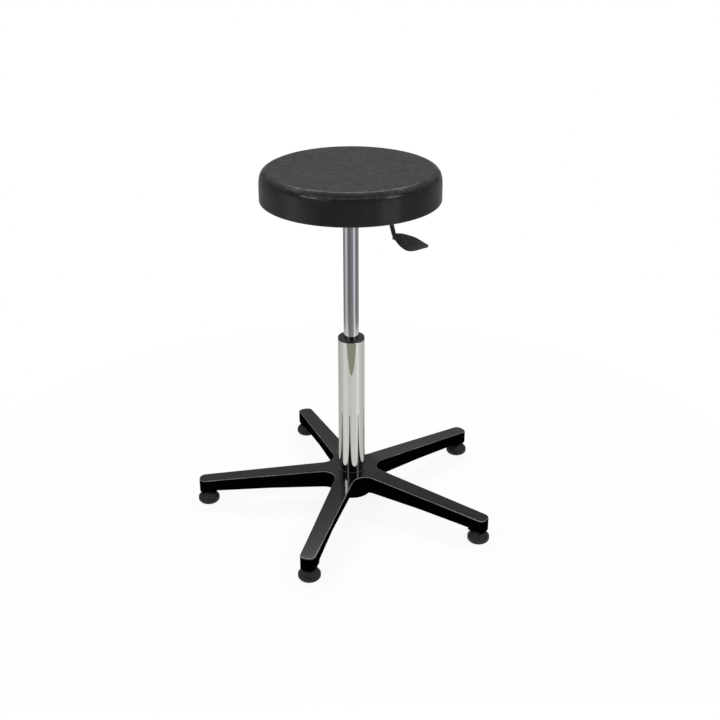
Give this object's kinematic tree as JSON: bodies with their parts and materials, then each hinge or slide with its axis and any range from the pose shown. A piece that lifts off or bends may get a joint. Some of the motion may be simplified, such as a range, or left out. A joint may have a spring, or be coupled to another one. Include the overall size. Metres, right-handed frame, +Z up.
{
  "type": "task stool",
  "caption": "Height-adjustable task stool: round black foam seat with a lever, chromed telescopic column, black star base on glides.",
  "frame": {"origin": "on the column's axis at the floor", "axes": "+Z up, one arm of the base along -Y, the lever along +X at rest"},
  "size_m": [0.5732, 0.5471, 0.665],
  "materials": {
    "black_foam_skin": "matt grained integral skin of polyurethane foam",
    "plywood": "bare birch plywood",
    "black_steel": "satin black powder coat",
    "chrome": "bright chrome plating",
    "zinc_steel": "zinc-plated steel",
    "aluminium": "turned aluminium",
    "black_nylon": "moulded glass-filled nylon, satin",
    "black_acetal": "moulded acetal, low gloss",
    "black_glide": "moulded polyethylene, matt",
    "black_rubber": "matt rubber"
  },
  "bodies": {
    "base": {"base_star": "black_nylon", "column_tube": "chrome", "tube_cup": "zinc_steel", "guide_bush": "black_acetal", "lower_race": "zinc_steel", "glide_pad_1": "black_glide", "glide_pad_2": "black_glide", "glide_pad_3": "black_glide", "glide_pad_4": "black_glide", "glide_pad_5": "black_glide", "glide_stem_1": "zinc_steel", "glide_stem_2": "zinc_steel", "glide_stem_3": "zinc_steel", "glide_stem_4": "zinc_steel", "glide_stem_5": "zinc_steel", "grip_ring_1": "zinc_steel", "grip_ring_2": "zinc_steel", "grip_ring_3": "zinc_steel", "grip_ring_4": "zinc_steel", "grip_ring_5": "zinc_steel"},
    "bearing": {"bearing_cage": "black_acetal", "bearing_balls": "zinc_steel"},
    "rod": {"piston_rod": "chrome", "piston": "aluminium", "piston_ring": "black_rubber", "upper_race": "zinc_steel", "bumper": "black_rubber", "rod_clip": "zinc_steel"},
    "seat": {"gas_cylinder": "chrome", "rod_guide": "black_acetal", "rod_seal": "black_rubber", "valve_body": "aluminium", "cone_socket": "black_steel", "lever_housing": "black_steel", "seat_plate": "black_steel", "seat_board": "plywood", "tee_nut_1": "zinc_steel", "tee_nut_2": "zinc_steel", "tee_nut_3": "zinc_steel", "tee_nut_4": "zinc_steel", "seat_bolt_1": "zinc_steel", "seat_bolt_2": "zinc_steel", "seat_bolt_3": "zinc_steel", "seat_bolt_4": "zinc_steel", "bolt_washer_1": "zinc_steel", "bolt_washer_2": "zinc_steel", "bolt_washer_3": "zinc_steel", "bolt_washer_4": "zinc_steel", "seat_cushion": "black_foam_skin", "pivot_pin": "zinc_steel", "pivot_clip_1": "zinc_steel", "pivot_clip_2": "zinc_steel"},
    "lever": {"lever_rod": "black_steel", "lever_paddle": "black_acetal"},
    "release": {"release_pin": "zinc_steel"}
  },
  "joints": [
    {"name": "seat_swivel", "type": "hinge", "parent": "base", "child": "rod", "pos_m": [0, 0, 0.03], "axis": [0, 0, 1], "continuous": true},
    {"name": "bearing_spin", "type": "hinge", "parent": "base", "child": "bearing", "pos_m": [0, 0, 0.03], "axis": [0, 0, 1], "continuous": true},
    {"name": "seat_height", "type": "slide", "parent": "rod", "child": "seat", "axis": [0, 0, 1], "range_m": [-0.2, 0]},
    {"name": "lever_pivot", "type": "hinge", "parent": "seat", "child": "lever", "pos_m": [0.034, 0, 0.597], "axis": [0, -1, 0], "range_deg": [0, 5], "stiffness_Nm_per_rad": 6, "springref_deg": -11.46},
    {"name": "release_slide", "type": "slide", "parent": "seat", "child": "release", "axis": [0, 0, -1], "range_m": [0, 0.003]}
  ],
  "couplings": [
    {"joint": "bearing_spin", "follows": "seat_swivel", "ratio": 0.5},
    {"joint": "release_slide", "follows": "lever_pivot", "m_per_rad": 0.034}
  ]
}
